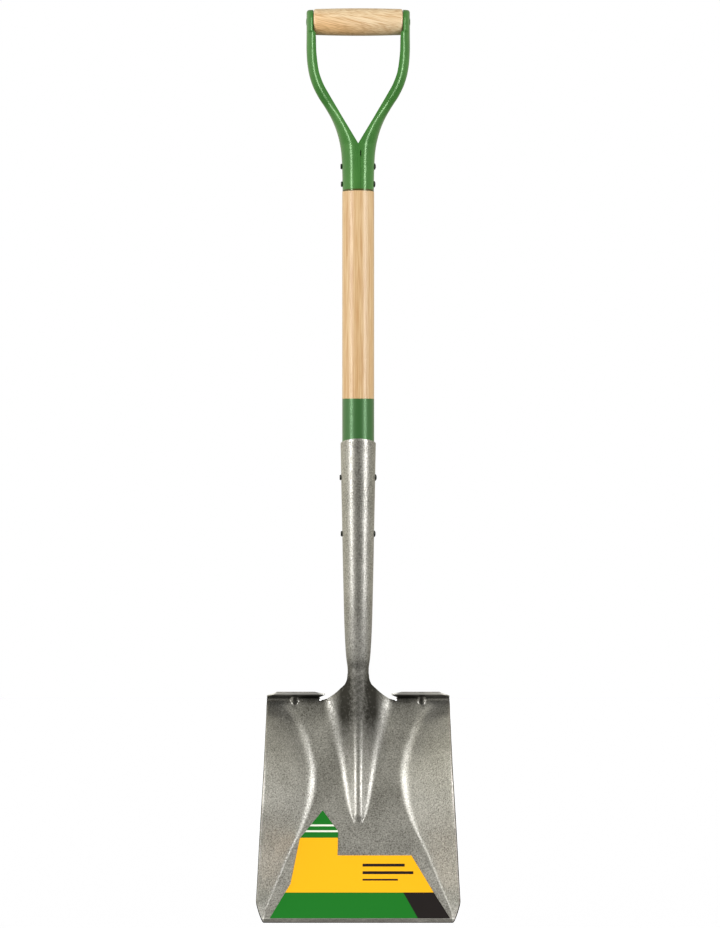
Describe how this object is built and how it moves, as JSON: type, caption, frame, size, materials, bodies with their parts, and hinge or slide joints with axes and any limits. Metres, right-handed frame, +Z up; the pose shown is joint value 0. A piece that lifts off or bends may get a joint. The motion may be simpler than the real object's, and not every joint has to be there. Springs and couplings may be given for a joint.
{
  "type": "square mouth shovel",
  "caption": "Square mouth shovel with a pressed steel scoop, a straight wooden shaft and a D-shaped grip on a formed steel yoke.",
  "frame": {"origin": "middle of the grip's underside, where a hook or a peg carries the hanging shovel", "axes": "+Z up the shaft from the blade to the grip; the load side of the blade faces -Y; X runs along the grip"},
  "size_m": [0.2356, 0.1269, 1.07],
  "materials": {
    "blade_steel": "satin grey steel with a fine speckle",
    "shaft_wood": "clear lacquered ash with a painted band",
    "yoke_paint": "gloss green paint",
    "grip_wood": "clear lacquered ash",
    "rod_paint": "gloss green paint",
    "label_print": "printed film in flat colours",
    "rivet_steel": "dark semi-gloss"
  },
  "bodies": {
    "root": {"blade": "blade_steel", "shaft": "shaft_wood", "yoke": "yoke_paint", "grip": "grip_wood", "grip_rod": "rod_paint", "label": "label_print", "yoke_rivet_upper": "rivet_steel", "yoke_rivet_lower": "rivet_steel", "socket_rivet_upper": "rivet_steel", "socket_rivet_lower": "rivet_steel"}
  },
  "joints": []
}
